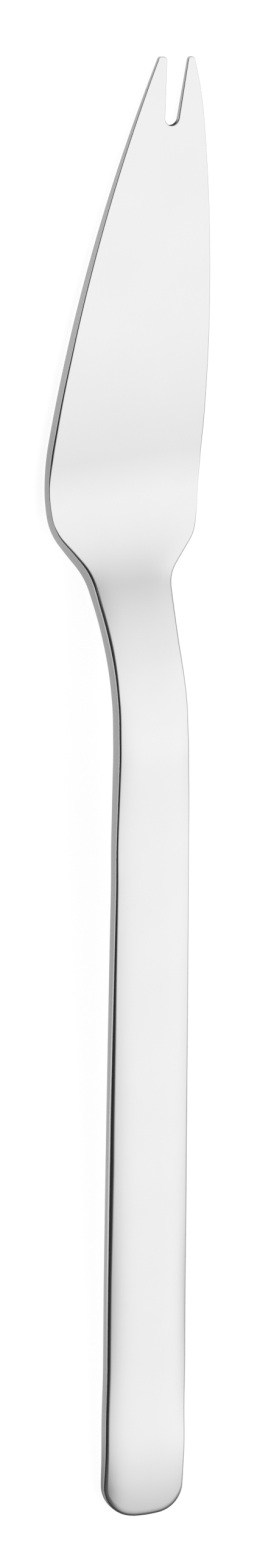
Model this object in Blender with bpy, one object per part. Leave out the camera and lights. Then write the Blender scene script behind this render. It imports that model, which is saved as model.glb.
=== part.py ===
# Fish knife in one piece: a blank stamped from stainless strip, rolled thin towards the tip and cranked
# at the neck. It lies as on a table, with the blade flat, the tip towards +Y and the handle's end touching.

import math

import bmesh
import bpy
from mathutils import Vector

# Lengths are in metres and angles in degrees.
# The flat blank is measured by stations, from the handle's end towards the tip, and by offsets from the
# handle's middle line, the spine's side at +X and the belly's side at -X.

# Handle
HANDLE_LENGTH = 0.1254
HANDLE_END_WIDTH = 0.01274
HANDLE_NECK_WIDTH = 0.0107
END_CORNER_RADIUS = 0.0046
NECK_RADIUS = 0.0926
NECK_ANGLE = 6.3

# Spine, from the neck to the tip
SPINE_FLARE_RADIUS = 0.0076
SPINE_FLARE_ANGLE = 47.0
SPINE_FLARE_STRAIGHT = 0.00155
SPINE_CORNER_RADIUS = 0.0060
SPINE_START_ANGLE = 10.4
SPINE_BREAK_OFFSET = 0.01509
SPINE_BREAK_SETBACK = 0.0090

# Belly, from the neck to the tip
BELLY_FLARE_RADIUS = 0.0156
BELLY_FLARE_ANGLE = 37.2
BELLY_FLARE_STRAIGHT = 0.00094
BELLY_CORNER_RADIUS = 0.00635
BELLY_CORNER_ANGLE = 6.5
BELLY_HEEL_RADIUS = 0.0301
BELLY_START_ANGLE = 12.9

# Forked tip
BLADE_LENGTH = 0.0858
TIP_OFFSET = 0.01136
TIP_LEAN = 9.0
NOTCH_DEPTH = 0.0097
NOTCH_FLOOR_RADIUS = 0.00105
NOTCH_WALL_SPLAY = 4.0
SPINE_TINE_WIDTH = 0.00095
BELLY_TINE_WIDTH = 0.00136
TINE_CORNER_RADIUS = 0.00045

# Thickness, and the rounding of every edge
HANDLE_THICKNESS = 0.00192
NECK_THICKNESS = 0.00232
HEEL_THICKNESS = 0.00199
TIP_THICKNESS = 0.0005
NECK_SWELL_LENGTH = 0.0164
BLADE_TAPER_POWER = 1.56
EDGE_ROUND = 0.00028

# Crank, measured on the underside
CREST_SETBACK = 0.0099
CREST_RADIUS = 0.0365
RAMP_LENGTH = 0.0120
RAMP_ANGLE = 19.5
HEEL_BEND_RADIUS = 0.0376

# Fineness of the facets
CHORD_ERROR = 0.00001
BEND_STEP = 2.5
TAPER_STEP = 0.0045
SWELL_STEP = 0.0025
EDGE_SEGMENTS = 2
CUT_SNAP = 0.00003
SMOOTH_LIMIT = 40.0

# Stations and angles that follow from the sizes above
TIP_STATION = HANDLE_LENGTH + BLADE_LENGTH
RAMP_SLOPE = math.radians(RAMP_ANGLE)
CREST_HEIGHT = (CREST_RADIUS + HEEL_BEND_RADIUS) * (1 - math.cos(RAMP_SLOPE)) + RAMP_LENGTH * math.sin(RAMP_SLOPE)
HANDLE_STRAIGHT = HANDLE_LENGTH - CREST_SETBACK


def rest_slope():
    """Slope of the handle at which its end comes down to the table that the blade lies on."""
    lean = math.atan2(CREST_RADIUS, HANDLE_STRAIGHT)
    return lean + math.asin((CREST_HEIGHT - CREST_RADIUS) / math.hypot(HANDLE_STRAIGHT, CREST_RADIUS))


HANDLE_SLOPE = rest_slope()
CREST_TOP_STATION = HANDLE_STRAIGHT + CREST_RADIUS * HANDLE_SLOPE
CREST_END_STATION = HANDLE_STRAIGHT + CREST_RADIUS * (HANDLE_SLOPE + RAMP_SLOPE)
RAMP_END_STATION = CREST_END_STATION + RAMP_LENGTH
HEEL_STATION = RAMP_END_STATION + HEEL_BEND_RADIUS * RAMP_SLOPE

# The underside as straights and arcs: (length, turn), a positive turn curving upwards
UNDERSIDE = (
    (HANDLE_STRAIGHT, 0.0),
    (CREST_END_STATION - HANDLE_STRAIGHT, -HANDLE_SLOPE - RAMP_SLOPE),
    (RAMP_LENGTH, 0.0),
    (HEEL_STATION - RAMP_END_STATION, RAMP_SLOPE),
    (TIP_STATION - HEEL_STATION + HANDLE_END_WIDTH, 0.0),
)


def direction(heading):
    """Unit vector of a heading, counted from the tip's direction outwards to +X."""
    return Vector((math.sin(heading), math.cos(heading)))


class Pen:
    """Draws one side of the outline as straights and arcs, each tangent to the one before."""

    def __init__(self, offset, station, heading):
        self.points = [Vector((offset, station))]
        self.heading = heading

    def straight(self, length):
        self.points.append(self.points[-1] + direction(self.heading) * length)

    def arc(self, radius, heading):
        start = self.points[-1]
        side = 1 if heading > self.heading else -1
        to_centre = Vector((math.cos(self.heading), -math.sin(self.heading))) * side * radius
        turn = heading - self.heading
        steps = max(1, math.ceil(abs(turn) * math.sqrt(radius / (8 * CHORD_ERROR))))
        for step in range(1, steps + 1):
            angle = self.heading + turn * step / steps
            from_centre = Vector((-math.cos(angle), math.sin(angle))) * side * radius
            self.points.append(start + to_centre + from_centre)
        self.heading = heading

    def arc_through(self, point):
        chord = point - self.points[-1]
        turn = 2 * (math.atan2(chord.x, chord.y) - self.heading)
        if abs(turn) < 1e-6:
            self.points.append(point)
            return
        radius = chord.length / (2 * math.sin(abs(turn) / 2))
        self.arc(radius, self.heading + turn)


def handle_side(flare_radius, flare_angle, flare_straight):
    """One side of the handle, from its end round the corner to the blade's shoulder."""
    pen = Pen(HANDLE_END_WIDTH / 2 - END_CORNER_RADIUS, 0.0, math.radians(90))
    pen.arc(END_CORNER_RADIUS, 0.0)
    pen.arc_through(Vector((HANDLE_NECK_WIDTH / 2, HANDLE_LENGTH)))
    pen.arc(NECK_RADIUS, math.radians(NECK_ANGLE))
    pen.arc(flare_radius, math.radians(flare_angle))
    pen.straight(flare_straight)
    return pen


def spine_side(tip_corner):
    """The spine's side, drawn up to the outer corner of its tine."""
    pen = handle_side(SPINE_FLARE_RADIUS, SPINE_FLARE_ANGLE, SPINE_FLARE_STRAIGHT)
    pen.arc(SPINE_CORNER_RADIUS, math.radians(SPINE_START_ANGLE))
    pen.arc_through(Vector((SPINE_BREAK_OFFSET, TIP_STATION - SPINE_BREAK_SETBACK)))
    pen.arc_through(tip_corner)
    return pen.points


def belly_side(tip_corner):
    """The belly's side, drawn as on +X and then mirrored to -X."""
    pen = handle_side(BELLY_FLARE_RADIUS, BELLY_FLARE_ANGLE, BELLY_FLARE_STRAIGHT)
    pen.arc(BELLY_CORNER_RADIUS, math.radians(BELLY_CORNER_ANGLE))
    pen.arc(BELLY_HEEL_RADIUS, -math.radians(BELLY_START_ANGLE))
    pen.arc_through(Vector((-tip_corner.x, tip_corner.y)))
    return [Vector((-point.x, point.y)) for point in pen.points]


def round_corner(before, corner, after, radius):
    """Points of the arc that rounds a corner of the outline, from the side before to the side after."""
    to_before = (before - corner).normalized()
    to_after = (after - corner).normalized()
    half = to_before.angle(to_after) / 2
    centre = corner + (to_before + to_after).normalized() * radius / math.sin(half)
    spoke = corner + to_before * radius / math.tan(half) - centre
    turn = math.pi - 2 * half
    if to_before.cross(to_after) > 0:
        turn = -turn
    steps = max(3, math.ceil(abs(turn) * math.sqrt(radius / (8 * CHORD_ERROR))))
    arc = []
    for step in range(steps + 1):
        angle = turn * step / steps
        cos, sin = math.cos(angle), math.sin(angle)
        arc.append(centre + Vector((spoke.x * cos - spoke.y * sin, spoke.x * sin + spoke.y * cos)))
    return arc


def tine_radius(tine_width, outer_half, inner_half):
    """The corner radius of a tine, no larger than its width leaves room for."""
    return min(TINE_CORNER_RADIUS, 0.95 * tine_width / (1 / math.tan(outer_half) + 1 / math.tan(inner_half)))


def half_angle(before, corner, after):
    return (before - corner).angle(after - corner) / 2


def trimmed(points, corner, radius, half):
    """A side without its last points that the rounding of its end corner takes up."""
    reach = radius / math.tan(half)
    return [point for point in points if (point - corner).length > reach]


def blank_outline():
    """Outline of the flat blank, counterclockwise from the handle's end along the spine."""
    lean = math.radians(TIP_LEAN)
    splay = math.radians(NOTCH_WALL_SPLAY)
    along = direction(lean)
    across = Vector((along.y, -along.x))
    mouth = Vector((TIP_OFFSET, TIP_STATION))
    floor_centre = mouth - along * (NOTCH_DEPTH - NOTCH_FLOOR_RADIUS)
    floor_rise = NOTCH_DEPTH - NOTCH_FLOOR_RADIUS
    mouth_half = NOTCH_FLOOR_RADIUS / math.cos(splay) + floor_rise * math.tan(splay)

    spine_mouth = mouth + across * mouth_half
    belly_mouth = mouth - across * mouth_half
    spine_corner = spine_mouth + across * SPINE_TINE_WIDTH
    belly_corner = belly_mouth - across * BELLY_TINE_WIDTH
    spine = spine_side(spine_corner)
    belly = belly_side(belly_corner)

    floor = []
    sweep = math.pi - 2 * splay
    steps = math.ceil(sweep * math.sqrt(NOTCH_FLOOR_RADIUS / (8 * CHORD_ERROR)))
    for step in range(steps + 1):
        angle = -splay - sweep * step / steps
        spoke = across * math.cos(angle) + along * math.sin(angle)
        floor.append(floor_centre + spoke * NOTCH_FLOOR_RADIUS)

    spine_outer = half_angle(spine[-2], spine_corner, spine_mouth)
    spine_inner = half_angle(spine_corner, spine_mouth, floor[0])
    belly_outer = half_angle(belly[-2], belly_corner, belly_mouth)
    belly_inner = half_angle(belly_corner, belly_mouth, floor[-1])
    spine_radius = tine_radius(SPINE_TINE_WIDTH, spine_outer, spine_inner)
    belly_radius = tine_radius(BELLY_TINE_WIDTH, belly_outer, belly_inner)

    outline = trimmed(spine[:-1], spine_corner, spine_radius, spine_outer)
    outline += round_corner(spine[-2], spine_corner, spine_mouth, spine_radius)
    outline += round_corner(spine_corner, spine_mouth, floor[0], spine_radius)
    outline += floor
    outline += round_corner(floor[-1], belly_mouth, belly_corner, belly_radius)
    outline += round_corner(belly_mouth, belly_corner, belly[-2], belly_radius)
    outline += reversed(trimmed(belly[:-1], belly_corner, belly_radius, belly_outer))
    return outline


def smooth_step(value):
    share = min(1.0, max(0.0, value))
    return share * share * (3 - 2 * share)


def thickness(station):
    """Thickness of the rolled knife: thickest at the crest of the neck, thinnest at the tip."""
    swell = smooth_step((station - CREST_TOP_STATION) / NECK_SWELL_LENGTH + 1)
    thinned = smooth_step((station - CREST_TOP_STATION) / (HEEL_STATION - CREST_TOP_STATION))
    taper = min(1.0, max(0.0, (station - HEEL_STATION) / (TIP_STATION - HEEL_STATION)))
    thick = HANDLE_THICKNESS + (NECK_THICKNESS - HANDLE_THICKNESS) * swell
    thick -= (NECK_THICKNESS - HEEL_THICKNESS) * thinned
    return thick - (HEEL_THICKNESS - TIP_THICKNESS) * taper**BLADE_TAPER_POWER


def underside_at(station):
    """Place and slope of the pressed underside at a station of the blank."""
    y, z, slope = 0.0, 0.0, HANDLE_SLOPE
    for length, turn in UNDERSIDE:
        run = min(station, length)
        bend = turn * run / length
        chord = run * math.sin(bend / 2) / (bend / 2) if bend else run
        y += chord * math.cos(slope + bend / 2)
        z += chord * math.sin(slope + bend / 2)
        slope += bend
        station -= run
        if station <= 0:
            break
    return y, z, slope


def spaced(start, end, step):
    """Stations from start to end, evenly spaced and no further apart than step."""
    count = max(1, math.ceil((end - start) / step))
    return [start + (end - start) * index / count for index in range(count + 1)]


def cut_stations():
    """Stations where the blank needs an edge across it, to bend and to taper."""
    step = math.radians(BEND_STEP)
    stations = spaced(CREST_TOP_STATION - NECK_SWELL_LENGTH, HANDLE_STRAIGHT, SWELL_STEP)
    stations += spaced(HANDLE_STRAIGHT, CREST_END_STATION, CREST_RADIUS * step)
    stations += spaced(CREST_END_STATION, RAMP_END_STATION, SWELL_STEP)
    stations += spaced(RAMP_END_STATION, HEEL_STATION, HEEL_BEND_RADIUS * step)
    stations += spaced(HEEL_STATION, TIP_STATION, TAPER_STEP)
    return stations


def stamped_blank():
    """The flat blank as a prism of the strip's gauge, with every rim edge rounded."""
    bm = bmesh.new()
    lower = bm.faces.new([bm.verts.new((point.x, point.y, 0.0)) for point in blank_outline()])
    lower.normal_flip()
    extruded = bmesh.ops.extrude_face_region(bm, geom=[lower], use_keep_orig=True)
    raised = [item for item in extruded["geom"] if isinstance(item, bmesh.types.BMVert)]
    bmesh.ops.translate(bm, vec=(0.0, 0.0, NECK_THICKNESS), verts=raised)
    bmesh.ops.recalc_face_normals(bm, faces=bm.faces)
    rims = [edge for edge in bm.edges if edge.verts[0].co.z == edge.verts[1].co.z]
    bmesh.ops.bevel(
        bm,
        geom=rims,
        offset=EDGE_ROUND,
        offset_type="OFFSET",
        segments=EDGE_SEGMENTS,
        profile=0.5,
        affect="EDGES",
        clamp_overlap=False,
    )
    return bm


def press(bm):
    """Rolls the blank to its thickness and cranks it, point by point."""
    for station in cut_stations():
        everything = bm.verts[:] + bm.edges[:] + bm.faces[:]
        bmesh.ops.bisect_plane(bm, geom=everything, dist=CUT_SNAP, plane_co=(0, station, 0), plane_no=(0, 1, 0))
    for vert in bm.verts:
        station = vert.co.y
        height = vert.co.z * thickness(station) / NECK_THICKNESS
        y, z, slope = underside_at(station)
        vert.co.y = y - height * math.sin(slope)
        vert.co.z = z + height * math.cos(slope)


def centre_on_box(bm):
    """Moves the knife so that its origin lies on the table, under the middle of its box."""
    lowest = Vector([min(vert.co[axis] for vert in bm.verts) for axis in range(3)])
    highest = Vector([max(vert.co[axis] for vert in bm.verts) for axis in range(3)])
    middle = (lowest + highest) / 2
    bmesh.ops.translate(bm, vec=(-middle.x, -middle.y, -lowest.z), verts=bm.verts)


def satin_steel():
    material = bpy.data.materials.new("satin_steel")
    material.use_nodes = True
    shader = material.node_tree.nodes["Principled BSDF"]
    shader.inputs["Base Color"].default_value = (0.66, 0.65, 0.63, 1.0)
    shader.inputs["Metallic"].default_value = 1.0
    shader.inputs["Roughness"].default_value = 0.24
    return material


def fish_knife():
    bm = stamped_blank()
    press(bm)
    centre_on_box(bm)
    bmesh.ops.triangulate(bm, faces=bm.faces)
    mesh = bpy.data.meshes.new("fish_knife")
    bm.to_mesh(mesh)
    bm.free()
    mesh.shade_smooth()
    mesh.set_sharp_from_angle(angle=math.radians(SMOOTH_LIMIT))
    mesh.materials.append(satin_steel())
    knife = bpy.data.objects.new("fish_knife", mesh)
    bpy.context.scene.collection.objects.link(knife)
    return knife


def main():
    for item in list(bpy.data.objects):
        bpy.data.objects.remove(item, do_unlink=True)
    knife = fish_knife()
    size = [round(length * 1000, 2) for length in knife.dimensions]
    print("fish_knife:", len(knife.data.polygons), "triangles,", size, "mm")


main()
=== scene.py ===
# %% [markdown]
# # A fish knife
# The real object is one piece of stainless steel. A blank is stamped from strip, rolled thin towards the
# tip, pressed into a crank at the neck and given a satin finish. It has no seam, rivet or joint, so there is
# one piece to make here, and the work goes into its outline, its rounded edges, the bend at the neck and the
# way that satin steel shows the light around it.

# %% Load the frame
import math

import bmesh
import bpy
import numpy as np
from mathutils import Matrix, Vector


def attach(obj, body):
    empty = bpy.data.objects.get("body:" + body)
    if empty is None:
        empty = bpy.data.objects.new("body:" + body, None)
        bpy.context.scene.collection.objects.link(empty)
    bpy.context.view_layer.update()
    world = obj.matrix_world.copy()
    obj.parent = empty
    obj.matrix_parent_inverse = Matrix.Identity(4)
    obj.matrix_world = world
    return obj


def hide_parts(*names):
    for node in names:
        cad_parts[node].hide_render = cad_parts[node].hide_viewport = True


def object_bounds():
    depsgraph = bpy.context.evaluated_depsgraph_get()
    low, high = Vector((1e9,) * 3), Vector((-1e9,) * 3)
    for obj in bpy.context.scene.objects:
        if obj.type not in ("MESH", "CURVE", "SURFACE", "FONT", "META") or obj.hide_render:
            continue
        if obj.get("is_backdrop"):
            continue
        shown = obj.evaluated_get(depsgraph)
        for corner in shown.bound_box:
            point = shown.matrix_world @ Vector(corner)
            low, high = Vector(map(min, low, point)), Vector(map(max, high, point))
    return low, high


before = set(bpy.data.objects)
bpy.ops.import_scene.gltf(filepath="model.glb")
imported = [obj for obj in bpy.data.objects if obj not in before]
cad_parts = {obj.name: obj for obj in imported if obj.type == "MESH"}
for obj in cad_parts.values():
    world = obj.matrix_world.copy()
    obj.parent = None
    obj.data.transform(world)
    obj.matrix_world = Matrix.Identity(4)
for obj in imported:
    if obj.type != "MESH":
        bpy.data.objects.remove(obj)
cad_low, cad_high = (Vector(corner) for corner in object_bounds())
MM = 0.001
print("CAD box in mm:", [round(length / MM, 2) for length in cad_high - cad_low])

# %% [markdown]
# ## The outline
# Before it is bent, the knife is a flat blank. It is measured by stations, from the handle's end towards the
# tip, and by offsets from the handle's middle line. Its sides could be traced with a Bezier curve, but a
# toolmaker draws a blanking die with straights and tangent arcs, so a small walker does the same here: it
# goes on from a point with a heading, and keeps the heading at every step. The heading gives the direction
# that points into the steel, which the rounded edges need later. All sizes are in millimetres.

# %% A walker that draws straights and tangent arcs
STRAIGHT_STEPS, ARC_STEPS = 16, 96


def walk(offset, station, heading, moves):
    """Rows of (offset, station, heading) along tangent moves, the heading counted outwards from the tip.

    A move is a straight of a length, an arc of a radius up to a heading in degrees, or an arc that reaches
    a point.
    """
    rows = [(offset, station, heading)]
    for kind, *sizes in moves:
        x, s, h = rows[-1]
        if kind == "straight":
            for share in np.linspace(0, 1, STRAIGHT_STEPS + 1)[1:]:
                run = sizes[0] * share
                rows.append((x + run * math.sin(h), s + run * math.cos(h), h))
            continue
        if kind == "reach":
            dx, ds = sizes[0] - x, sizes[1] - s
            turn = 2 * (math.atan2(dx, ds) - h)
            radius = math.hypot(dx, ds) / (2 * math.sin(turn / 2))
        else:
            turn = math.radians(sizes[1]) - h
            radius = math.copysign(sizes[0], turn)
        for share in np.linspace(0, 1, ARC_STEPS + 1)[1:]:
            a = h + turn * share
            sideways = radius * (math.cos(h) - math.cos(a))
            forwards = radius * (math.sin(a) - math.sin(h))
            rows.append((x + sideways, s + forwards, a))
    return rows


test_rows = walk(0.0, 0.0, 0.0, [("straight", 1.0), ("arc", 1.0, 90)])
print("a straight and a quarter turn end at", [round(float(value), 3) for value in test_rows[-1]])

# %% [markdown]
# The two sides are almost alike along the handle and part at the neck: the spine flares out quickly and runs
# almost straight to the tip, and the belly swings wider and comes back in one long curve. The tip leans
# towards the spine and has a narrow notch, so each side ends at the outer corner of a tine.

# %% Both sides of the blank
HANDLE_LENGTH, BLADE_LENGTH = 125.4, 85.8
BELLY_END, SPINE_END, NECK_WIDTH = 6.37, 6.28, 10.7
BELLY_END_CORNER, SPINE_END_CORNER = 5.45, 4.1
TIP_OFFSET, TIP_STATION, TIP_LEAN = 11.27, HANDLE_LENGTH + BLADE_LENGTH, math.radians(9)
NOTCH_DEPTH, NOTCH_FLOOR, NOTCH_SPLAY = 9.35, 1.05, math.radians(4)
SPINE_TINE, BELLY_TINE, SPINE_TINE_REACH = 0.95, 1.25, 0.24

along = np.array((math.sin(TIP_LEAN), math.cos(TIP_LEAN)))
across = np.array((along[1], -along[0]))
mouth = np.array((TIP_OFFSET, TIP_STATION))
mouth_half = NOTCH_FLOOR / math.cos(NOTCH_SPLAY) + (NOTCH_DEPTH - NOTCH_FLOOR) * math.tan(NOTCH_SPLAY)
spine_corner = mouth + across * (mouth_half + SPINE_TINE) + along * SPINE_TINE_REACH
belly_corner = mouth - across * (mouth_half + BELLY_TINE)

handle_moves = [("reach", NECK_WIDTH / 2, HANDLE_LENGTH), ("arc", 92.6, 6.3)]
spine_moves = [("arc", 5.97, 41.5), ("straight", 4.0), ("arc", 5.62, 9.85)]
spine_moves += [("reach", 15.0, TIP_STATION - 9.0), ("reach", *spine_corner)]
belly_moves = [("straight", 1.33), ("arc", 8.74, 32.5), ("straight", 3.65), ("arc", 9.17, 5.1)]
belly_moves += [("arc", 33.7, -12.9), ("reach", -belly_corner[0], belly_corner[1])]


def whole_side(half_end, corner, moves):
    """One side from the handle's flat end, round its corner and along the handle and the blade."""
    start = (half_end - corner, 0.0, math.pi / 2)
    return np.array(walk(*start, [("arc", corner, 0)] + handle_moves + moves))


spine = whole_side(SPINE_END, SPINE_END_CORNER, spine_moves)
belly = whole_side(BELLY_END, BELLY_END_CORNER, belly_moves) * (-1, 1, -1)
widest = (round(belly[:, 0].min(), 2), round(spine[:, 0].max(), 2))
print("blank:", round(TIP_STATION, 1), "long, from", widest[0], "to", widest[1])

# %% A point of a side


def side_at(side, station):
    """Point of a side at a station, with the direction that points into the steel there."""
    heading = np.interp(station, side[:, 1], side[:, 2])
    inward = np.array((-math.cos(heading), math.sin(heading)))
    if side is belly:
        inward *= -1
    return np.array((np.interp(station, side[:, 1], side[:, 0]), station)), inward


print("the spine at the neck:", [np.round(part, 2).tolist() for part in side_at(spine, HANDLE_LENGTH)])

# %% [markdown]
# ## Thickness and edges
# Rolling leaves the handle about two millimetres thick, a little more where the neck carries the load, and
# lets the blade run out to half a millimetre. At its very end the handle's top droops and its underside
# lifts a little, so that it lies well in the palm. A Lattice could squeeze a plain slab into this shape, but
# numbers along the knife can be checked with a caliper, so these are plain functions of the station.

# %% Thickness at a station
STRIP, TIP_THINNING, TAPER_CURVE = 1.92, 1.49, 1.56
NECK_SWELL, HEEL_THINNING = 0.40, 0.33
CREST_TOP, SWELL_RUN, HEEL_END = 117.06, 16.4, 155.1
END_DROOP, DROOP_RUN = 1.21, 12.5
PALM_SWELL, PALM_START, PALM_RUN = 0.15, 26, 16
UNDER_LIFT, LIFT_RUN = 0.25, 8


def ease(value):
    """A smooth step from 0 to 1."""
    share = min(1.0, max(0.0, value))
    return share * share * (3 - 2 * share)


def thickness(s):
    neck = NECK_SWELL * ease((s - CREST_TOP) / SWELL_RUN + 1)
    heel = HEEL_THINNING * ease((s - CREST_TOP) / (HEEL_END - CREST_TOP))
    blade_share = min(1.0, max(0.0, (s - HEEL_END) / (TIP_STATION - HEEL_END)))
    taper = TIP_THINNING * blade_share ** TAPER_CURVE
    palm = PALM_SWELL * ease((PALM_START - s) / PALM_RUN)
    droop = END_DROOP * max(0.0, 1 - s / DROOP_RUN) ** 2 - palm
    return STRIP + (neck - heel) - taper - droop


def end_lift(s):
    """Height by which the underside curves up at the handle's very end."""
    return UNDER_LIFT * max(0.0, 1 - s / LIFT_RUN) ** 2


print("thickness:", [round(thickness(s), 2) for s in (0, 60, CREST_TOP, HEEL_END, TIP_STATION)])

# %% [markdown]
# The top isn't quite flat. Grinding on a soft wheel leaves a low crown along the handle and over the bend,
# which falls towards both edges, and on satin steel even a tenth of a millimetre shows as a darker band. A
# fourth power of the offset keeps the middle flat and bends only near the edges, as such a wheel does.

# %% The top face
FACE_STATIONS = (0, 3, 6, 9, 16, 22, 28, 37, 46, 55, 73)
FACE_STATIONS += (91, 105, 116, 120, 123, 128, 133, 138, 142, 150)
CROWN_HEIGHTS = (0.38, 0.38, 0.38, 0.38, 0.38, 0.39, 0.41, 0.43, 0.42, 0.39, 0.30)
CROWN_HEIGHTS += (0.22, 0.20, 0.20, 0.15, 0.11, 0.06, 0.12, 0.18, 0.12, 0)
EDGE_FALLS = (0.85, 0.82, 0.64, 0.50, 0.45, 0.50, 0.58, 0.60, 0.50, 0.44, 0.38)
EDGE_FALLS += (0.27, 0.22, 0.33, 0.30, 0.18, 0.06, 0.14, 0.30, 0.26, 0)
NEARBY_STEPS = range(-3, 4)
FULL_WIDTH_STATION = 8.0
SPINE_FULLNESS, FULLNESS_END, FULLNESS_RUN = 0.7, 20, 12


def along_knife(s, heights):
    """A height from a table, evened out over a few millimetres."""
    return np.mean([np.interp(s + step, FACE_STATIONS, heights) for step in NEARBY_STEPS])


def face_height(x, s):
    """Height of the top face at an offset and a station: a flat crown that falls towards both edges."""
    place = max(s, FULL_WIDTH_STATION)
    left, right = (np.interp(place, side[:, 1], side[:, 0]) for side in (belly, spine))
    share = (2 * x - left - right) / (right - left)
    fall = along_knife(s, EDGE_FALLS) * share ** 4
    if share > 0:
        fall *= 1 - SPINE_FULLNESS * ease((FULLNESS_END - s) / FULLNESS_RUN)
    return thickness(s) + along_knife(s, CROWN_HEIGHTS) - fall


print("face at station 60:", [round(face_height(x, 60), 2) for x in (-6, -3, 0, 3, 6)])

# %% [markdown]
# The wheel also rounds the edges: most along the belly's side of the handle, where the fingers lie, less on
# the spine's side, and hardly at all on the shoulder and the tines. The belly's wall leans in or out by up to
# three tenths of a millimetre on its way, as a sheared wall does. A Bevel modifier can't change its width
# smoothly along an edge, so the rounds and the lean are tables along the knife too.

# %% The edge rounds
# At each station: how far the top round drops and reaches in, and the lower round's radius.
EDGE_STATIONS = (0, 2, 4, 7, 10, 20, 37, 46, 55, 73, 82, 91, 105)
EDGE_STATIONS += (116, 124, 130, 135, 139, 145.5, 148.5, 154, 158, 176, 193, 205, 212)
TOP_DROPS = (0.14, 0.24, 0.40, 0.44, 0.40, 0.32, 0.54, 0.64, 0.70, 0.58, 0.48, 0.42, 0.32)
TOP_DROPS += (0.33, 0.38, 0.52, 0.48, 0.44, 0.36, 0.08, 0.16, 0.40, 0.20, 0.15, 0.14, 0.12)
END_WIDTHS = (1.00, 0.90, 0.60, 0.55, 0.52, 0.52)
TOP_WIDTHS = END_WIDTHS + TOP_DROPS[len(END_WIDTHS):]
LOW_EDGES = (0.35, 0.45, 0.55, 0.70, 0.80, 0.60, 0.42, 0.40, 0.40, 0.40, 0.40, 0.40, 0.38)
LOW_EDGES += (0.36, 0.36, 0.36, 0.36, 0.36, 0.34, 0.30, 0.28, 0.25, 0.21, 0.19, 0.18, 0.12)
LEAN_STATIONS = (24, 38, 48, 62, 76, 92, 136, 139.7, 141, 143, 144, 145.5)
LEAN_STATIONS += (146.5, 147.6, 148.6, 150, 151.4, 153, 155, 157.5, 161, 166, 172)
WALL_LEANS = (0, -0.11, -0.14, -0.14, -0.06, 0, 0, 0.18, 0.27, 0.29, 0.27, 0.17)
WALL_LEANS += (0.10, 0.07, 0.02, -0.06, -0.12, -0.19, -0.21, -0.13, -0.08, -0.08, 0)
SPINE_CRISPNESS, CRISP_START, CRISP_END, CRISP_FADE = 0.35, 5, 112, 16


def edge_size(sizes, s):
    return np.interp(s, EDGE_STATIONS, sizes)


def wall_lean(s):
    """How far the top of the belly's wall stands inside its foot, or outside it where this is below zero."""
    return np.interp(s, LEAN_STATIONS, WALL_LEANS)


def spine_edge(s):
    """The spine's edge is crisper than the belly's along the handle, and the same from the neck on."""
    return 1 - SPINE_CRISPNESS * ease(s / CRISP_START) * ease((CRISP_END - s) / CRISP_FADE)


print("top rounds:", [round(edge_size(TOP_DROPS, s), 2) for s in (0, 60, CREST_TOP, HEEL_END, TIP_STATION)])

# %% [markdown]
# ## The rolled blank
# The blank is lofted from rungs that cross it, as a boat's hull is planked over its frames. Each rung has a
# rim at either end, which runs over the rounded top edge, down the wall and round the lower edge, and rows of
# points between the two rims on the top and underneath. Quads that follow the steel this way bend cleanly in
# the press and shade without creases. A triangulated face would show every triangle on metal.
# Each point also notes how far over the edge it lies, from 0 on the face to 1 on a wall, and up to 2 where
# the wall was cut last and left rough, and where its colour is painted almost black as painted shade. The
# steel's material reads this note later.

# %% Points and rims
TOP_STEPS, LOW_STEPS = 10, 5
RIM_POINTS = TOP_STEPS + LOW_STEPS + 2
QUARTER_TURN = math.pi / 2

bm = bmesh.new()
edge_share = bm.verts.layers.float.new("edge")


def add_point(x, s, n, share):
    vert = bm.verts.new((x * MM, s * MM, n * MM))
    vert[edge_share] = share
    return vert


def add_rim(point, inward, crisp=1.0, cut_and_shade=0.0, lean=0.0):
    """Points over the top edge, down the wall and round the lower edge at one point of the outline."""
    width, drop, low = (edge_size(sizes, point[1]) for sizes in (TOP_WIDTHS, TOP_DROPS, LOW_EDGES))
    rim = []
    for angle in np.linspace(0, QUARTER_TURN, TOP_STEPS + 1):
        place = point + inward * (lean + crisp * width * (1 - math.sin(angle)))
        height = face_height(*place) - crisp * drop * (1 - math.cos(angle))
        rim.append(add_point(*place, height, (1 + cut_and_shade) * angle / QUARTER_TURN))
    for angle in np.linspace(QUARTER_TURN, math.pi, LOW_STEPS + 1):
        place = point + inward * low * (1 - math.sin(angle))
        height = end_lift(place[1]) + low * (1 + math.cos(angle))
        rim.append(add_point(*place, height, (1 + cut_and_shade) * (2 - angle / QUARTER_TURN)))
    return rim


def add_rows(left, right, shares):
    """Points on the top face and underneath, between a left and a right rim."""
    top, low = [], []
    for share in shares:
        x, s, _ = left[0].co.lerp(right[0].co, share) / MM
        top.append(add_point(x, s, face_height(x, s), 0.0))
        x, s, _ = left[-1].co.lerp(right[-1].co, share) / MM
        low.append(add_point(x, s, end_lift(s), 0.0))
    return top, low


print("points in a rim:", RIM_POINTS)

# %% Faces between rungs and between rims
TINE_COLUMNS, NOTCH_COLUMNS = 6, 6
COLUMNS = 2 * TINE_COLUMNS + NOTCH_COLUMNS


def loft(one, two):
    """Quads between two rungs, each given as its closed ring of points."""
    for index in range(len(one)):
        after = (index + 1) % len(one)
        bm.faces.new((one[index], one[after], two[after], two[index]))


def loft_all(rings):
    for one, two in zip(rings, rings[1:]):
        loft(one, two)


def close(rims):
    """Quads between rims that stand side by side, with the top and the lower row of their inner ends."""
    for one, two in zip(rims, rims[1:]):
        for index in range(len(one) - 1):
            bm.faces.new((one[index], one[index + 1], two[index + 1], two[index]))
    return [rim[0] for rim in rims[1:-1]], [rim[-1] for rim in rims[1:-1]]


def ring(left, top, right, low):
    """A rung's points in order, over the top and back underneath."""
    return left[::-1] + top + right + low[::-1]


def between(left_point, right_point, shares):
    return [left_point + (right_point - left_point) * share for share in shares]


print("points in a rung:", 2 * (RIM_POINTS + COLUMNS - 1))

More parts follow.
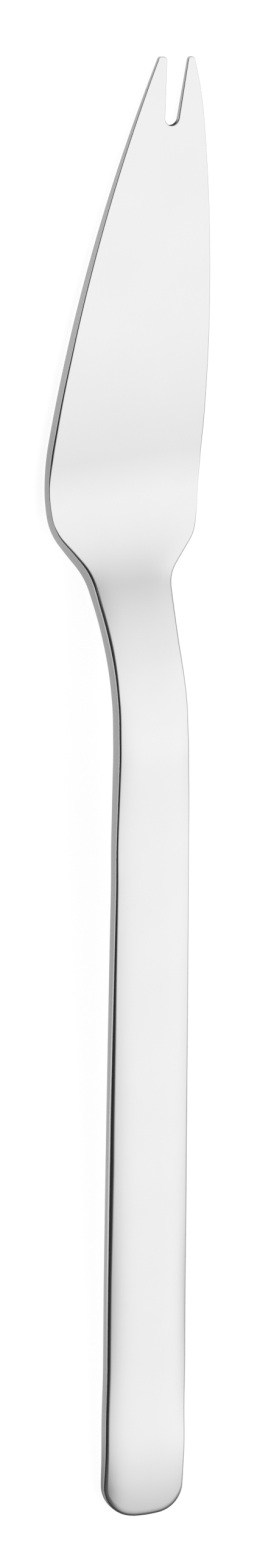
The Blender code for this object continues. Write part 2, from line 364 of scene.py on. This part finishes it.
# %% [markdown]
# The handle and most of the blade are one run of rungs. The first rung lies along the handle's flat end, and
# there the wall turns the corner, so a row of rims closes the end. Rungs stand closer together where the
# outline turns or the press will bend the steel.

# %% Where the rungs stand
CORNER_RUNGS, BLADE_RUNGS = 25, 32
HANDLE_START, BEND_START, BEND_END, BLADE_START = 6.4, 112, 160, 160.4
HANDLE_STEP, BEND_STEP, LAST_GAP = 1.6, 0.6, 0.8

floor_centre = mouth - along * (NOTCH_DEPTH - NOTCH_FLOOR)
floor_station = floor_centre[1] - NOTCH_FLOOR
corner_turns = np.radians(np.linspace(0, 90, CORNER_RUNGS))
stations = [BELLY_END_CORNER * (1 - math.cos(turn)) for turn in corner_turns]
stations += list(np.arange(HANDLE_START, BEND_START, HANDLE_STEP))
stations += list(np.arange(BEND_START, BEND_END, BEND_STEP))
stations += list(np.linspace(BLADE_START, floor_station - LAST_GAP, BLADE_RUNGS))
print("rungs:", len(stations), "up to station", round(stations[-1], 2))

# %% Handle and blade
RIM_HOLD = 0.08
# The handle's end wall is marked part of the way as cut: rougher, and its colour painted darker as painted
# shade.
END_CUT_AND_SHADE, END_CUT_RUN = 0.8, 14


def spread(count, margin):
    """Shares of a row's inner points: evenly spaced, with one close to each rim to hold the edge crisp."""
    return [margin] + [index / (count - 2) for index in range(1, count - 2)] + [1 - margin]


body_rings = []
for station in stations:
    left_point, left_inward = side_at(belly, station)
    right_point, right_inward = side_at(spine, station)
    cut_and_shade = END_CUT_AND_SHADE * max(0.0, 1 - station / END_CUT_RUN)
    left = add_rim(left_point, left_inward, 1.0, cut_and_shade, wall_lean(station))
    right = add_rim(right_point, right_inward, spine_edge(station), cut_and_shade)
    shares = spread(COLUMNS, RIM_HOLD / (right_point[0] - left_point[0]))
    if body_rings:
        top, low = add_rows(left, right, shares)
    else:
        inner_points = between(left_point, right_point, shares)
        inner_rims = [add_rim(point, left_inward, 1.0, cut_and_shade) for point in inner_points]
        top, low = close([left] + inner_rims + [right])
    body_rings.append(ring(left, top, right, low))
loft_all(body_rings)
print("handle and blade:", len(body_rings), "rungs of", len(body_rings[0]), "points")

# %% [markdown]
# ## The fork
# At the tip a narrow notch leaves two tines, which pick out bones. It could be cut with a Boolean, which
# would leave thin slivers round the notch's floor and no clean rim to round. Instead the last rung bends
# round the notch: its middle points become the rims of the floor, and each tine goes on with rungs of its
# own.

# %% The rung at the notch's floor
FLOOR_SWING = math.radians(46)
FORK_START = floor_station + 0.2
FIRST_SHARE = 0.03


def floor_point(angle):
    spoke = across * math.sin(angle) - along * math.cos(angle)
    return floor_centre + spoke * NOTCH_FLOOR, spoke


belly_rim = add_rim(*side_at(belly, FORK_START))
spine_rim = add_rim(*side_at(spine, FORK_START))
floor_swings = np.linspace(-FLOOR_SWING, FLOOR_SWING, NOTCH_COLUMNS + 1)
floor_rims = [add_rim(*floor_point(swing), cut_and_shade=1.0) for swing in floor_swings]
tine_shares = [FIRST_SHARE] + [index / (TINE_COLUMNS - 1) for index in range(1, TINE_COLUMNS - 1)]

belly_top, belly_low = add_rows(belly_rim, floor_rims[0], tine_shares)
spine_top, spine_low = add_rows(floor_rims[-1], spine_rim, tine_shares)
fork_top = belly_top + [rim[0] for rim in floor_rims] + spine_top
fork_low = belly_low + [rim[-1] for rim in floor_rims] + spine_low
loft(body_rings[-1], ring(belly_rim, fork_top, spine_rim, fork_low))
close(floor_rims)
print("the notch's floor lies at station", round(floor_station, 2), "and has", len(floor_rims), "rims")

# %% The two edges of a tine
FLOOR_STEPS, WALL_STEPS, CORNER_STEPS = 6, 12, 6
TINE_CORNER, CORNER_LEAD = 0.45, 1.5


def unit(vector):
    return vector / np.linalg.norm(vector)


def rounded(before, corner, after):
    """Points and inward directions of the arc that rounds a tine's corner."""
    to_before, to_after = unit(before - corner), unit(after - corner)
    half = math.acos(float(to_before @ to_after)) / 2
    centre = corner + unit(to_before + to_after) * TINE_CORNER / math.sin(half)
    first = corner + to_before * TINE_CORNER / math.tan(half) - centre
    last = corner + to_after * TINE_CORNER / math.tan(half) - centre
    turn = math.atan2(first[0] * last[1] - first[1] * last[0], first @ last)
    arc = []
    for angle in np.linspace(0, turn, CORNER_STEPS + 1):
        cos, sin = math.cos(angle), math.sin(angle)
        spoke = np.array((first[0] * cos - first[1] * sin, first[0] * sin + first[1] * cos))
        arc.append((centre + spoke, -spoke / TINE_CORNER))
    return arc


def outer_path(side, corner, inner_corner):
    """The tine's outer edge, from just above the notch's floor over its rounded corner."""
    arc = rounded(side_at(side, corner[1] - CORNER_LEAD)[0], corner, inner_corner)
    steps = np.linspace(FORK_START, arc[0][0][1], FLOOR_STEPS + WALL_STEPS + 1)
    return [side_at(side, station) for station in steps[1:-1]] + arc


def inner_path(sign, corner, outer_corner):
    """The tine's edge along the notch, up the rest of the floor's arc, the wall and the rounded corner."""
    swings = np.linspace(FLOOR_SWING, QUARTER_TURN - NOTCH_SPLAY, FLOOR_STEPS + 1)
    path = [floor_point(sign * swing) for swing in swings[1:]]
    foot, inward = path[-1]
    arc = rounded(foot, corner, outer_corner)
    for share in np.linspace(0, 1, WALL_STEPS + 1)[1:-1]:
        path.append((foot + (arc[0][0] - foot) * share, inward))
    return path + arc


belly_mouth = mouth - across * mouth_half
spine_mouth = mouth + across * mouth_half + along * SPINE_TINE_REACH
belly_paths = (outer_path(belly, belly_corner, belly_mouth), inner_path(-1, belly_mouth, belly_corner))
spine_paths = (inner_path(1, spine_mouth, spine_corner), outer_path(spine, spine_corner, spine_mouth))
print("steps along a tine:", len(belly_paths[0]), len(spine_paths[0]))

# %% Both tines


def add_tine(first_ring, left_path, right_path, notch_on_left):
    """Rungs from the notch's floor to the tine's tip, which a row of rims closes."""
    rings = [first_ring]
    for count, (left_step, right_step) in enumerate(zip(left_path, right_path), 1):
        cut_and_shade = max(0.0, 1 - count / FLOOR_STEPS)
        left = add_rim(*left_step, cut_and_shade=cut_and_shade if notch_on_left else 0.0)
        right = add_rim(*right_step, cut_and_shade=0.0 if notch_on_left else cut_and_shade)
        if count == len(left_path):
            inner_points = between(left_step[0], right_step[0], tine_shares)
            top, low = close([left] + [add_rim(point, -along) for point in inner_points] + [right])
        else:
            top, low = add_rows(left, right, tine_shares)
        rings.append(ring(left, top, right, low))
    loft_all(rings)


add_tine(ring(belly_rim, belly_top, floor_rims[0], belly_low), *belly_paths, notch_on_left=False)
add_tine(ring(floor_rims[-1], spine_top, spine_rim, spine_low), *spine_paths, notch_on_left=True)
print("blank with its fork:", len(bm.verts), "points")

# %% [markdown]
# ## The last strokes
# A belt grinder moves the finished outline by a tenth or two of a millimetre here and there: the end is
# slightly slanted and bulges in its middle, the handle sways towards the belly near its end and at the neck,
# and the spine's shoulder is eased. Each is a smooth bump along the knife. Points are moved, and not the
# outline, because a rim then moves as a whole. Proportional editing does the same by hand, but not twice
# alike.

# %% Trim the blank
END_TRIM, END_SLANT, END_RUN = 0.11, 0.055, 14
END_BULGE, BULGE_OFFSET, BULGE_HALF = 0.1, 0.5, 2.8
END_SWAY, END_SWAY_RISE, END_SWAY_STOP, END_SWAY_FADE = 0.2, 7, 24, 10
NECK_SWAY, NECK_START, NECK_RISE, NECK_STOP, NECK_FADE = 0.12, 101, 8, 122.5, 5
SHOULDER_EASING, SHOULDER_START, SHOULDER_RISE, SHOULDER_STOP, SHOULDER_FADE = 0.011, 148, 4, 160, 5


def bump_along(s, start, rise, stop, fade):
    """A smooth bump between two stations, 1 in its middle."""
    return ease((stop - s) / fade) * ease((s - start) / rise)


for vert in bm.verts:
    x, s, _ = vert.co / MM
    vert.co.x -= END_SWAY * bump_along(s, 0, END_SWAY_RISE, END_SWAY_STOP, END_SWAY_FADE) * MM
    sway = NECK_SWAY * bump_along(s, NECK_START + x, NECK_RISE, NECK_STOP, NECK_FADE)
    easing = bump_along(s, SHOULDER_START, SHOULDER_RISE, SHOULDER_STOP, SHOULDER_FADE)
    sway += SHOULDER_EASING * max(0.0, x) * easing
    vert.co.x -= sway * MM
    bulge = END_BULGE * ease(1 - abs(x - BULGE_OFFSET) / BULGE_HALF)
    vert.co.y += (END_TRIM - END_SLANT * x - bulge) * max(0.0, 1 - s / END_RUN) ** 2 * MM
bmesh.ops.recalc_face_normals(bm, faces=bm.faces)
open_edges = [edge for edge in bm.edges if not edge.is_manifold]
print("rolled blank:", len(bm.faces), "faces,", len(open_edges), "open edges")

blank_mesh = bpy.data.meshes.new("rolled_blank")
bm.to_mesh(blank_mesh)
bm.free()
blank = bpy.data.objects.new("rolled_blank", blank_mesh)
bpy.context.scene.collection.objects.link(blank)

# %% [markdown]
# ## Satin steel
# The finish is a fine satin: a soft wheel has drawn hair-thin lines along the knife, which blur what the
# metal mirrors without hiding it. An image could hold the lines, but it would need unwrapping and would
# stretch at the edges. A noise that is stretched along the knife has no seams. It follows the steel round the
# bend, because it is read from the flat blank's own coordinates, kept on the mesh as an attribute.

# %% Node helpers


def add_node(tree, kind, **settings):
    node = tree.nodes.new(kind)
    for name, value in settings.items():
        setattr(node, name, value)
    return node


def sum_of(tree, *terms):
    """A chain of Math nodes: each term is (operation, socket or number), applied to the one before."""
    value = None
    for operation, term in terms:
        if value is None and operation == "START":
            value = term
            continue
        node = add_node(tree, "ShaderNodeMath", operation=operation)
        inputs = [value] if term is None else [value, term]
        for socket, source in zip(node.inputs, inputs):
            if isinstance(source, (int, float)):
                socket.default_value = source
            else:
                tree.links.new(source, socket)
        value = node.outputs[0]
    return value


def ramp(tree, value, start, end, low=0.0, high=1.0, kind="LINEAR"):
    """A Map Range node: from low to high while the value goes from start to end."""
    node = add_node(tree, "ShaderNodeMapRange", interpolation_type=kind)
    tree.links.new(value, node.inputs["Value"])
    for name, number in zip(("From Min", "From Max", "To Min", "To Max"), (start, end, low, high)):
        node.inputs[name].default_value = number
    return node.outputs["Result"]


def scaled(tree, colour, factor):
    node = add_node(tree, "ShaderNodeVectorMath", operation="SCALE")
    tree.links.new(colour, node.inputs["Vector"])
    tree.links.new(factor, node.inputs["Scale"])
    return node.outputs["Vector"]


print("node helpers:", [helper.__name__ for helper in (add_node, sum_of, ramp, scaled)])

# %% Noise, and a mix of two greys
LINE_STRETCH, LINE_DETAIL = (9000, 160, 2500), 3.0


def noise(tree, place, scale):
    node = add_node(tree, "ShaderNodeTexNoise")
    node.inputs["Scale"].default_value = scale
    tree.links.new(place, node.inputs["Vector"])
    return node


def drawn_lines(tree, flat):
    """Hair-thin lines along the knife."""
    drawn = add_node(tree, "ShaderNodeMapping")
    drawn.inputs["Scale"].default_value = LINE_STRETCH
    tree.links.new(flat, drawn.inputs["Vector"])
    lines = noise(tree, drawn.outputs["Vector"], 1.0)
    lines.inputs["Detail"].default_value = LINE_DETAIL
    return lines.outputs["Fac"]


def mix(tree, share, first, second):
    """A colour between two, each given as a grey number or as a socket."""
    node = add_node(tree, "ShaderNodeMix", data_type="RGBA")
    tree.links.new(share, node.inputs["Factor"])
    for name, source in (("A", first), ("B", second)):
        if isinstance(source, float):
            node.inputs[name].default_value = (source, source, source, 1)
        else:
            tree.links.new(source, node.inputs[name])
    return node.outputs["Result"]


print("lines repeat about every", round(1 / LINE_STRETCH[0] / MM, 2), "mm across the knife")

# %% [markdown]
# The stamped walls are painted greyer than the face, as painted shade for the shaded table that they mirror,
# with a fine fleck as sheared steel has, and painted a little lighter on the blade than on the handle. The
# notch's floor was cut last and not polished, so it is rough, and its colour is painted almost black, as
# painted shade for the shaded table under it; the wall round the handle's end goes some of the way. At the
# heel the face's colour is painted a shade darker, as painted shade at the bend. Separate materials would
# leave hard borders between these, so one material blends them, by the note that each point carries and by
# the station.

# %% Tones of the face, and painted shade on the walls, the cut and the heel
FACE_DARK, FACE_LIGHT, CLOUD_SCALE = 0.735, 0.770, 90.0
# The walls' greys are painted shade for the shaded table that they mirror, with a random fleck; they are
# painted a little lighter on the blade than on the handle.
WALL_SHADE_DARK, WALL_SHADE_LIGHT, SPECK_SCALE = 0.33, 0.45, 5000.0
# Stations are in metres here, as the flat blank's coordinates are.
WALL_SHADE_START, WALL_SHADE_END, HANDLE_WALL_SHADE, BLADE_WALL_SHADE = 0.148, 0.172, 0.86, 1.09
# Painted shade: the cut's colour is almost black, for the shaded table that it mirrors.
CUT_PAINTED_SHADE = 0.03
# Painted shade: the face's colour is made a shade darker at the heel.
HEEL_PAINTED_SHADE = -0.11
HEEL_SIDES = ((0.1565, 0.184, 2.0), (0.157, 0.151, 1.0))


def face_tone(tree, flat):
    return mix(tree, noise(tree, flat, CLOUD_SCALE).outputs["Fac"], FACE_DARK, FACE_LIGHT)


def wall_tone_and_shade(tree, flat, station, rough_and_shaded_cut):
    # Painted shade: grey walls, lighter on the blade, and near black where the steel is marked as cut.
    fleck_and_shade = mix(tree, noise(tree, flat, SPECK_SCALE).outputs["Fac"], WALL_SHADE_DARK, WALL_SHADE_LIGHT)
    wall_shade_along = ramp(tree, station, WALL_SHADE_START, WALL_SHADE_END, HANDLE_WALL_SHADE, BLADE_WALL_SHADE, "SMOOTHSTEP")
    return mix(tree, rough_and_shaded_cut, scaled(tree, fleck_and_shade, wall_shade_along), CUT_PAINTED_SHADE)


def painted_heel_shade(tree, station):
    """Painted shade: 1 along the knife, and a little less at the heel, fading out to either side."""
    painted_dark = HEEL_PAINTED_SHADE
    for start, end, fade in HEEL_SIDES:
        side = ramp(tree, station, start, end, 1.0, 0.0)
        painted_dark = sum_of(tree, ("START", side), ("POWER", fade), ("MULTIPLY", painted_dark))
    return sum_of(tree, ("START", painted_dark), ("ADD", 1.0))


print("greys of the face", (FACE_DARK, FACE_LIGHT), "and of the walls", (WALL_SHADE_DARK, WALL_SHADE_LIGHT))

# %% The steel's material
SMOOTHEST, ROUGHEST, CUT_ROUGHNESS = 0.19, 0.25, 0.45
WALL_STARTS, WALL_FULL = 0.55, 0.95
LINE_STRENGTH, LINE_DEPTH = 0.05, 0.00002


def satin_steel():
    material = bpy.data.materials.new("satin_steel")
    material.use_nodes = True
    tree = material.node_tree
    shader = tree.nodes["Principled BSDF"]
    link = tree.links.new
    flat = add_node(tree, "ShaderNodeAttribute", attribute_name="flat").outputs["Vector"]
    edge = add_node(tree, "ShaderNodeAttribute", attribute_name="edge").outputs["Fac"]
    place = add_node(tree, "ShaderNodeSeparateXYZ")
    link(flat, place.inputs[0])
    station = place.outputs["Y"]
    lines = drawn_lines(tree, flat)
    # The cut is rougher, and its colour is painted near black as painted shade.
    rough_and_shaded_cut = ramp(tree, edge, 1.0, 2.0)
    rough = ramp(tree, lines, 0.0, 1.0, SMOOTHEST, ROUGHEST)
    roughness = sum_of(tree, ("START", rough_and_shaded_cut), ("MULTIPLY", CUT_ROUGHNESS), ("ADD", rough))
    link(roughness, shader.inputs["Roughness"])
    on_wall = ramp(tree, edge, WALL_STARTS, WALL_FULL, kind="SMOOTHSTEP")
    tone = mix(tree, on_wall, face_tone(tree, flat), wall_tone_and_shade(tree, flat, station, rough_and_shaded_cut))
    # The heel's painted shade darkens the whole colour there.
    link(scaled(tree, tone, painted_heel_shade(tree, station)), shader.inputs["Base Color"])
    bump = add_node(tree, "ShaderNodeBump")
    bump.inputs["Strength"].default_value = LINE_STRENGTH
    bump.inputs["Distance"].default_value = LINE_DEPTH
    link(lines, bump.inputs["Height"])
    link(bump.outputs["Normal"], shader.inputs["Normal"])
    shader.inputs["Metallic"].default_value = 1.0
    return material


steel = satin_steel()
print("satin steel:", len(steel.node_tree.nodes), "nodes")

# %% [markdown]
# ## The press
# A two-part tool bends the blank at the neck, so that the blade lies lower than the hand. Seen from the side
# the underside is five straights and arcs in a row: the handle, the crest, the ramp, the bend at the heel and
# the flat blade. A Curve modifier would do something close, but it stretches the steel. Geometry Nodes can do
# what the press does: one small node group lays a length of steel along a straight or an arc, and five of
# them in a row carry each point to its place.

# %% One step of the press, as a node group


def press_step():
    """Lays the next length of steel along an arc, or along a straight where the turn is 0.

    With half the turn as h, the chord is the length times sin(h) / h. Close to 0 that would divide by 0,
    so it is taken as 1 - h * h / 6 * (1 - h * h / 20), the first terms of its series.
    """
    group = bpy.data.node_groups.new("press_step", "GeometryNodeTree")
    for name in ("Station", "Forward", "Up", "Slope", "Length", "Turn"):
        group.interface.new_socket(name=name, in_out="INPUT", socket_type="NodeSocketFloat")
    for name in ("Station", "Forward", "Up", "Slope"):
        group.interface.new_socket(name=name, in_out="OUTPUT", socket_type="NodeSocketFloat")
    given = add_node(group, "NodeGroupInput").outputs
    taken = add_node(group, "NodeGroupOutput").inputs
    link = group.links.new
    run = sum_of(group, ("START", given["Station"]), ("MINIMUM", given["Length"]))
    bend = sum_of(group, ("START", given["Turn"]), ("MULTIPLY", run), ("DIVIDE", given["Length"]))
    half = sum_of(group, ("START", bend), ("MULTIPLY", 0.5))
    square = sum_of(group, ("START", half), ("MULTIPLY", half))
    shorter = sum_of(group, ("START", square), ("DIVIDE", -20.0), ("ADD", 1.0), ("MULTIPLY", square))
    chord = sum_of(group, ("START", shorter), ("DIVIDE", -6.0), ("ADD", 1.0), ("MULTIPLY", run))
    middle = sum_of(group, ("START", given["Slope"]), ("ADD", half))
    ahead = sum_of(group, ("START", middle), ("COSINE", None), ("MULTIPLY", chord))
    above = sum_of(group, ("START", middle), ("SINE", None), ("MULTIPLY", chord))
    link(sum_of(group, ("START", given["Station"]), ("SUBTRACT", run)), taken["Station"])
    link(sum_of(group, ("START", given["Forward"]), ("ADD", ahead)), taken["Forward"])
    link(sum_of(group, ("START", given["Up"]), ("ADD", above)), taken["Up"])
    link(sum_of(group, ("START", given["Slope"]), ("ADD", bend)), taken["Slope"])
    return group


step_group = press_step()
print("one step of the press:", len(step_group.nodes), "nodes")

# %% The press's sizes
PRESS_SIZES = {
    "Handle Straight": 114.5 * MM,
    "Crest Radius": 37.0 * MM,
    "Crest Angle": math.radians(16.5),
    "Ramp Length": 10.5 * MM,
    "Ramp Angle": math.radians(24.6),
    "Heel Radius": 35.2 * MM,
}


def handle_slope():
    """The slope at which the handle's end comes down to the table that the blade lies on."""
    straight, crest = PRESS_SIZES["Handle Straight"], PRESS_SIZES["Crest Radius"]
    first, last = PRESS_SIZES["Crest Angle"], PRESS_SIZES["Ramp Angle"]
    ramp_drop = PRESS_SIZES["Ramp Length"] * (math.cos(first) - math.cos(last)) / (last - first)
    height = crest * (1 - math.cos(first)) + ramp_drop + PRESS_SIZES["Heel Radius"] * (1 - math.cos(last))
    return math.atan2(crest, straight) + math.asin((height - crest) / math.hypot(straight, crest))


PRESS_SIZES["Handle Slope"] = handle_slope()
print("the handle rises by", round(math.degrees(PRESS_SIZES["Handle Slope"]), 2), "degrees")

# %% Where the press carries a point
# More steel than there is, so that the last step takes all that is left.
BLADE_RUN = 1.0


def press_steps(tree, given):
    """Length and turn of the handle, the crest, the ramp, the heel and the blade."""
    crest_turn = sum_of(tree, ("START", given["Handle Slope"]), ("ADD", given["Crest Angle"]))
    crest_length = sum_of(tree, ("START", crest_turn), ("MULTIPLY", given["Crest Radius"]))
    crest_down = sum_of(tree, ("START", crest_turn), ("MULTIPLY", -1.0))
    ramp_down = sum_of(tree, ("START", given["Crest Angle"]), ("SUBTRACT", given["Ramp Angle"]))
    heel_length = sum_of(tree, ("START", given["Ramp Angle"]), ("MULTIPLY", given["Heel Radius"]))
    return [
        (given["Handle Straight"], 0.0),
        (crest_length, crest_down),
        (given["Ramp Length"], ramp_down),
        (heel_length, given["Ramp Angle"]),
        (BLADE_RUN, 0.0),
    ]


def pressed_place(tree, given):
    """A point's place after all the steps, with its height above the underside kept square to the steel."""
    link = tree.links.new
    place = add_node(tree, "ShaderNodeSeparateXYZ")
    link(add_node(tree, "GeometryNodeInputPosition").outputs[0], place.inputs[0])
    carried = {"Station": place.outputs["Y"], "Slope": given["Handle Slope"]}
    for length, turn in press_steps(tree, given):
        step = add_node(tree, "GeometryNodeGroup", node_tree=step_group)
        for name, source in {**carried, "Length": length, "Turn": turn}.items():
            if isinstance(source, float):
                step.inputs[name].default_value = source
            else:
                link(source, step.inputs[name])
        carried = {name: step.outputs[name] for name in ("Station", "Forward", "Up", "Slope")}
    back = sum_of(tree, ("START", carried["Slope"]), ("SINE", None), ("MULTIPLY", place.outputs["Z"]))
    rise = sum_of(tree, ("START", carried["Slope"]), ("COSINE", None), ("MULTIPLY", place.outputs["Z"]))
    pressed = add_node(tree, "ShaderNodeCombineXYZ")
    link(place.outputs["X"], pressed.inputs["X"])
    link(sum_of(tree, ("START", carried["Forward"]), ("SUBTRACT", back)), pressed.inputs["Y"])
    link(sum_of(tree, ("START", carried["Up"]), ("ADD", rise)), pressed.inputs["Z"])
    return pressed.outputs["Vector"]


print("the last step takes up to", BLADE_RUN, "m of steel")

# %% The whole press


def crank_press():
    tree = bpy.data.node_groups.new("crank_press", "GeometryNodeTree")
    tree.interface.new_socket(name="Geometry", in_out="INPUT", socket_type="NodeSocketGeometry")
    for name in PRESS_SIZES:
        tree.interface.new_socket(name=name, in_out="INPUT", socket_type="NodeSocketFloat")
    tree.interface.new_socket(name="Steel", in_out="INPUT", socket_type="NodeSocketMaterial")
    tree.interface.new_socket(name="Geometry", in_out="OUTPUT", socket_type="NodeSocketGeometry")
    link = tree.links.new
    given = add_node(tree, "NodeGroupInput").outputs
    keep = add_node(tree, "GeometryNodeStoreNamedAttribute", data_type="FLOAT_VECTOR", domain="POINT")
    keep.inputs["Name"].default_value = "flat"
    link(add_node(tree, "GeometryNodeInputPosition").outputs[0], keep.inputs["Value"])
    move = add_node(tree, "GeometryNodeSetPosition")
    link(pressed_place(tree, given), move.inputs["Position"])
    smooth = add_node(tree, "GeometryNodeSetShadeSmooth")
    real = add_node(tree, "GeometryNodeRealizeInstances")
    paint = add_node(tree, "GeometryNodeSetMaterial")
    link(given["Steel"], paint.inputs["Material"])
    shape = given["Geometry"]
    for node in (keep, move, smooth, real, paint):
        link(shape, node.inputs["Geometry"])
        shape = node.outputs["Geometry"]
    link(shape, add_node(tree, "NodeGroupOutput").inputs["Geometry"])
    return tree


press = blank.modifiers.new("crank_press", "NODES")
press.node_group = crank_press()
print("the whole press:", len(press.node_group.nodes), "nodes")

# %% Press the blank
for item in press.node_group.interface.items_tree:
    if item.in_out == "INPUT" and item.name in PRESS_SIZES:
        press[item.identifier] = PRESS_SIZES[item.name]
    elif item.in_out == "INPUT" and item.name == "Steel":
        press[item.identifier] = steel
evaluated = blank.evaluated_get(bpy.context.evaluated_depsgraph_get())
mesh = bpy.data.meshes.new_from_object(evaluated)
mesh.name = "fish_knife_steel"
bpy.data.objects.remove(blank, do_unlink=True)
print("pressed:", len(mesh.vertices), "points")

# %% [markdown]
# ## Into its place
# The knife goes where the CAD model lies: on the table, its box centred over the origin. The move is made in
# the mesh, so that the object itself stays at the origin and the attribute still tells the flat blank's
# places.

# %% Place the knife and hand it to the frame
low = Vector([min(vert.co[axis] for vert in mesh.vertices) for axis in range(3)])
high = Vector([max(vert.co[axis] for vert in mesh.vertices) for axis in range(3)])
middle = (cad_low + cad_high) / 2 - (low + high) / 2
shift = Vector((middle.x, middle.y, cad_low.z - low.z))
mesh.transform(Matrix.Translation(shift))
knife = bpy.data.objects.new("fish_knife_steel", mesh)
bpy.context.scene.collection.objects.link(knife)
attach(knife, "root")
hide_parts("fish_knife")
print("knife in mm:", [round(length / MM, 2) for length in high - low], len(mesh.polygons), "faces")

# %% [markdown]
# ## The floor
# The picture shows the knife on plain white. A white sheet could be lit until it is white, but that light
# would wash out the steel. So the floor glows only where the camera, or a ray that the steel mirrors, sees
# it, and it is matt grey to all other light, which keeps the knife's shadow on it.

# %% Floor
FLOOR_HALF, FLOOR_GAP = 3.0, 0.0002
FLOOR_GREY, FLOOR_GLOW = 0.45, 0.82

floor_mesh = bpy.data.meshes.new("floor")
floor_bm = bmesh.new()
bmesh.ops.create_grid(floor_bm, x_segments=1, y_segments=1, size=FLOOR_HALF)
bmesh.ops.translate(floor_bm, vec=(0, 0, cad_low.z - FLOOR_GAP), verts=floor_bm.verts)
floor_bm.to_mesh(floor_mesh)
floor_bm.free()
floor = bpy.data.objects.new("floor", floor_mesh)
bpy.context.scene.collection.objects.link(floor)
floor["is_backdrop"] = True


def white_floor():
    material = bpy.data.materials.new("white_floor")
    material.use_nodes = True
    tree = material.node_tree
    tree.nodes.remove(tree.nodes["Principled BSDF"])
    link = tree.links.new
    path = add_node(tree, "ShaderNodeLightPath")
    seen = sum_of(
        tree,
        ("START", path.outputs["Is Camera Ray"]),
        ("MAXIMUM", path.outputs["Is Glossy Ray"]),
        ("MAXIMUM", path.outputs["Is Transmission Ray"]),
    )
    matt = add_node(tree, "ShaderNodeBsdfDiffuse")
    matt.inputs["Color"].default_value = (FLOOR_GREY, FLOOR_GREY, FLOOR_GREY, 1)
    glow = add_node(tree, "ShaderNodeEmission")
    link(sum_of(tree, ("START", seen), ("MULTIPLY", FLOOR_GLOW)), glow.inputs["Strength"])
    both = add_node(tree, "ShaderNodeAddShader")
    link(matt.outputs[0], both.inputs[0])
    link(glow.outputs[0], both.inputs[1])
    link(both.outputs[0], tree.nodes["Material Output"].inputs["Surface"])
    return material


floor_mesh.materials.append(white_floor())
print("floor:", round(floor.dimensions.x, 2), "m square,", round(FLOOR_GAP / MM, 2), "mm under the knife")

# %% [markdown]
# ## The lights
# Steel shows what stands round it more than its own colour. One broad soft light, with a small faint one
# beside it, hangs above and to the right, where the face mirrors it towards the camera. The side to the left
# stays dark, which draws the thin dark line along the left edge. Weaker lights stand low round the table,
# where those edges don't mirror them to the camera, so that the knife also looks like steel from other sides.
# Area lamps would do, but a glow in the world has no hard border, and its falloff is set by two angles.

# %% Lights
# Each light: its direction, the angles in degrees where it is full and where it ends, and its strength.
SOFT_LIGHTS = [
    ((0.60, -0.13, 0.79), 6, 65, 1.15),
    ((0.50, -0.38, 0.78), 3, 14, 0.04),
    ((-0.42, 0.82, 0.39), 12, 33, 0.90),
    ((0.15, 0.93, 0.33), 10, 40, 0.70),
    ((0.12, -0.96, 0.25), 5, 30, 0.18),
    ((-0.45, -0.78, 0.42), 8, 26, 0.10),
]
DARK_STUDIO = 0.025
SKY_LOW, SKY_HIGH, HORIZON_SHARE = 0.12, 0.60, 0.3


def studio_world():
    """A dark studio with broad soft lights, all weaker near the horizon."""
    world = bpy.data.worlds.new("studio")
    world.use_nodes = True
    tree = world.node_tree
    view = add_node(tree, "ShaderNodeTexCoord").outputs["Generated"]
    level = DARK_STUDIO
    for direction, full, none, strength in SOFT_LIGHTS:
        towards = add_node(tree, "ShaderNodeVectorMath", operation="DOT_PRODUCT")
        tree.links.new(view, towards.inputs[0])
        towards.inputs[1].default_value = Vector(direction).normalized()
        border, core = math.cos(math.radians(none)), math.cos(math.radians(full))
        glow = ramp(tree, towards.outputs["Value"], border, core, 0.0, strength, "SMOOTHSTEP")
        level = sum_of(tree, ("START", glow), ("ADD", level))
    height = add_node(tree, "ShaderNodeSeparateXYZ")
    tree.links.new(view, height.inputs[0])
    sky = ramp(tree, height.outputs["Z"], SKY_LOW, SKY_HIGH, HORIZON_SHARE, 1.0, "SMOOTHSTEP")
    background = tree.nodes["Background"].inputs
    tree.links.new(sum_of(tree, ("START", level), ("MULTIPLY", sky)), background["Strength"])
    background["Color"].default_value = (1, 1, 1, 1)
    return world


bpy.context.scene.world = studio_world()
print("soft lights:", len(SOFT_LIGHTS), "over a base level of", DARK_STUDIO)

# %% [markdown]
# ## The camera
# The knife is seen from its belly's side, from well above and a long way off, with the tip at the top of a
# tall narrow picture. The two tilts, the roll and the distance below give that view, and the lens fits the
# picture's height, along which the sensor's width lies in a tall picture. A camera can also be aimed with a
# Track To constraint, but three axes of its own are easier to check.

# %% Camera
SIDE_TILT, END_TILT, ROLL = math.radians(27.5), math.radians(16.0), math.radians(-1.4)
DISTANCE, PICTURE_HEIGHT, FOCAL_PIXELS = 1200 * MM, 2576, 14207.7
SENSOR = 36.0
view_point = Vector((0.169, 109.024, 3.97)) * MM + shift
flat_share = math.cos(END_TILT)
back = Vector((-math.sin(SIDE_TILT) * flat_share, math.sin(END_TILT), math.cos(SIDE_TILT) * flat_share))
level = Vector((math.cos(SIDE_TILT), 0, math.sin(SIDE_TILT)))
right = math.cos(ROLL) * level + math.sin(ROLL) * back.cross(level)
up = back.cross(right)

camera_data = bpy.data.cameras.new("camera")
camera_data.sensor_width = SENSOR
camera_data.lens = SENSOR * FOCAL_PIXELS / PICTURE_HEIGHT
camera_data.clip_start, camera_data.clip_end = 0.05, 20.0
camera = bpy.data.objects.new("camera", camera_data)
turn = Matrix((right, up, back)).transposed().to_4x4()
camera.matrix_world = Matrix.Translation(view_point + back * DISTANCE) @ turn
bpy.context.scene.collection.objects.link(camera)
bpy.context.scene.camera = camera
bpy.context.scene.view_settings.view_transform = "Standard"
print("camera:", round(camera_data.lens, 1), "mm lens,", DISTANCE, "m away")
